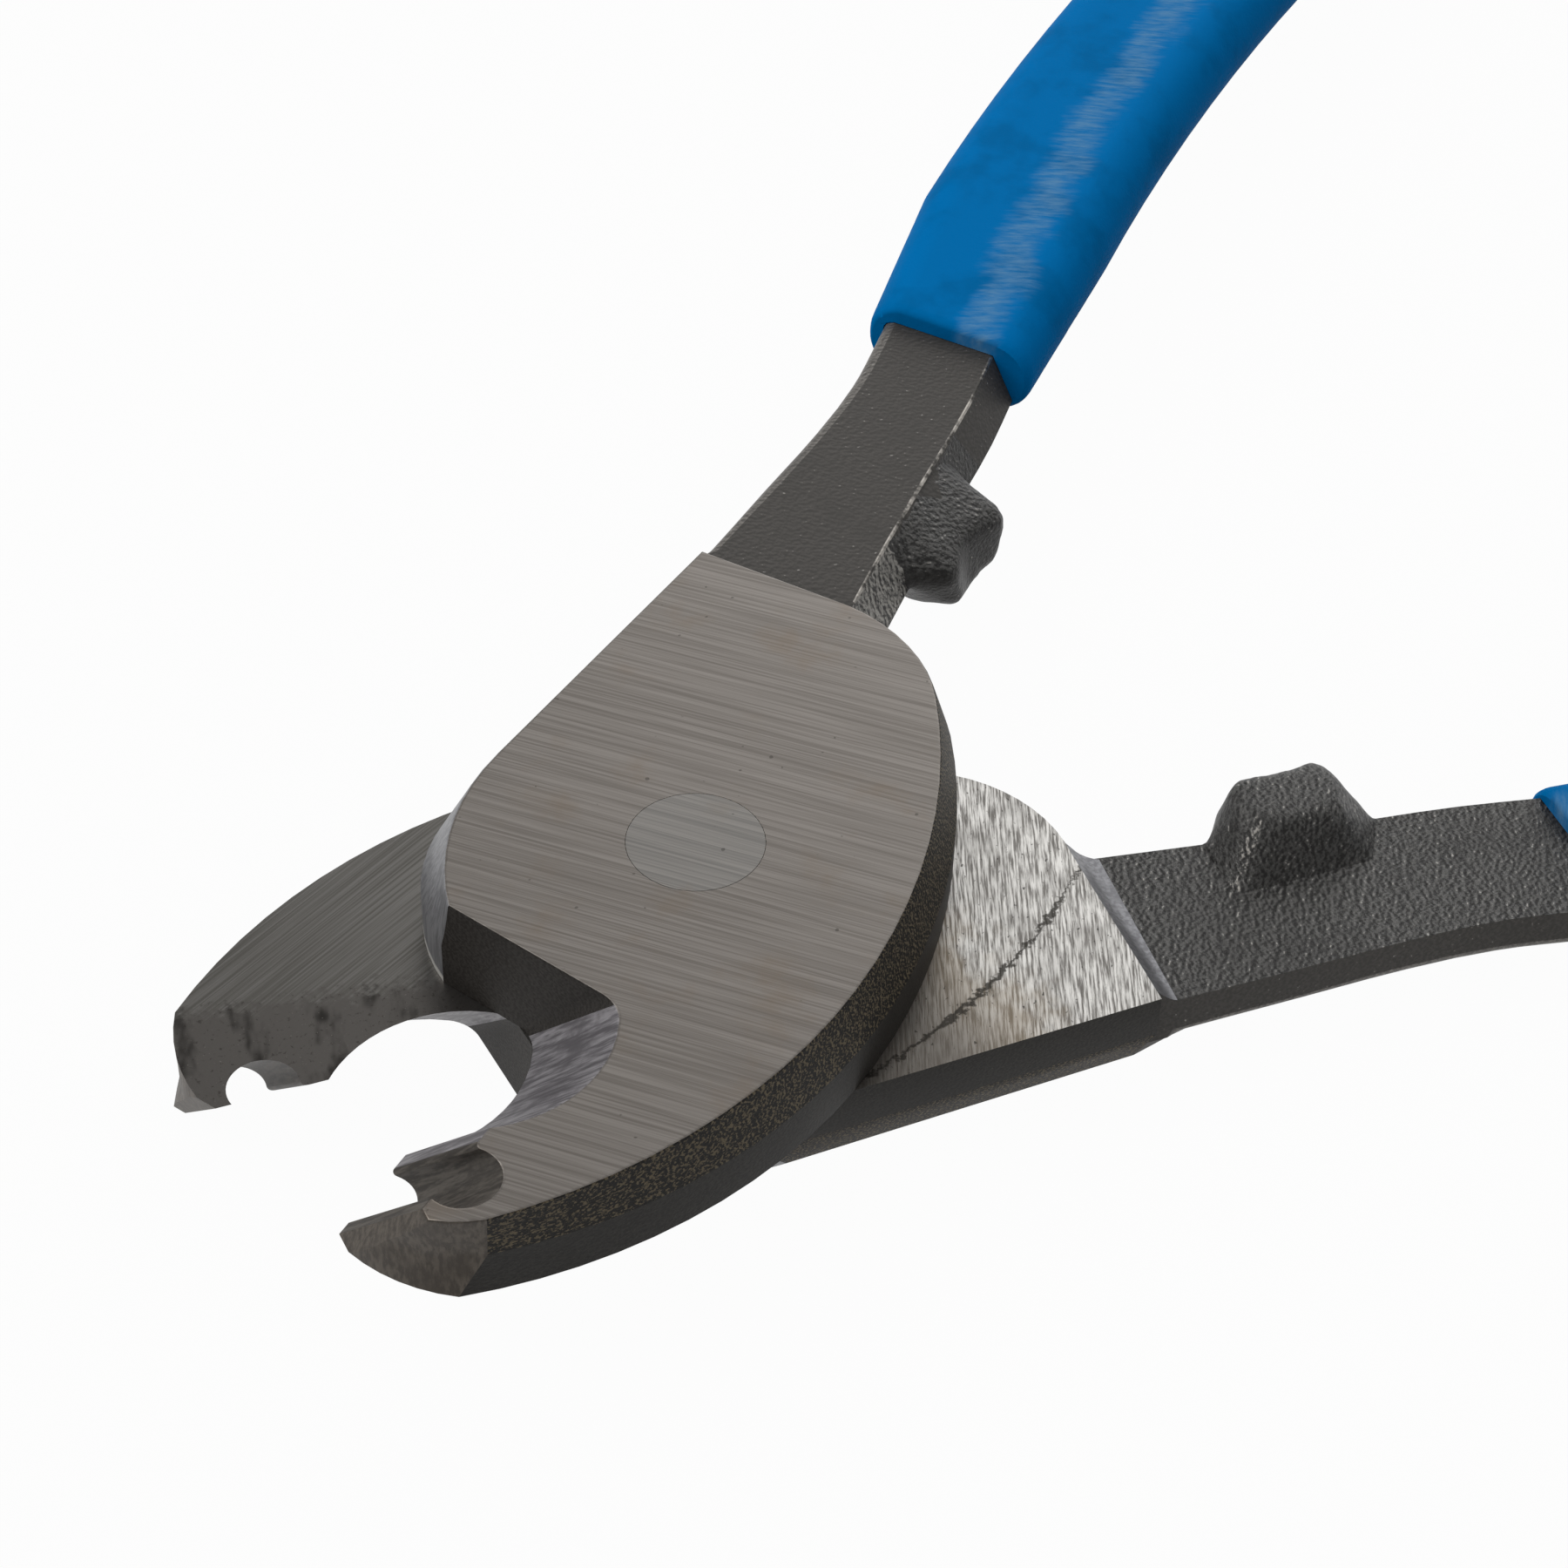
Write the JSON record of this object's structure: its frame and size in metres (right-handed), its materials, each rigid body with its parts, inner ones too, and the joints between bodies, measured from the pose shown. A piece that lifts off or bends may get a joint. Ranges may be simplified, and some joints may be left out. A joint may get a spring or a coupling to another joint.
{
  "type": "hand cable cutter",
  "caption": "Hand cable cutter: forged steel levers with hooked, bevelled jaws crossed on a flush rivet, stop lugs on the necks and dipped blue vinyl grips.",
  "frame": {"origin": "on the pivot axis, at the lower lever's ground outer face, which rests on the table", "axes": "+X from the jaws towards the handles along the middle of the open tool, +Z along the pivot away from the table"},
  "size_m": [0.1526, 0.1268, 0.0116],
  "materials": {
    "forged_steel": "dark forged scale with ground head faces and edges",
    "rivet_steel": "ground flush with the head",
    "vinyl": "satin dipped vinyl"
  },
  "bodies": {
    "lower": {"lower_lever": "forged_steel", "lower_grip": "vinyl", "pivot_rivet": "rivet_steel"},
    "upper": {"upper_lever": "forged_steel", "upper_grip": "vinyl"}
  },
  "joints": [
    {"name": "pivot", "type": "hinge", "parent": "lower", "child": "upper", "pos_m": [0, 0, 0.0058], "axis": [0, 0, 1], "range_deg": [-40.4, 20]}
  ]
}
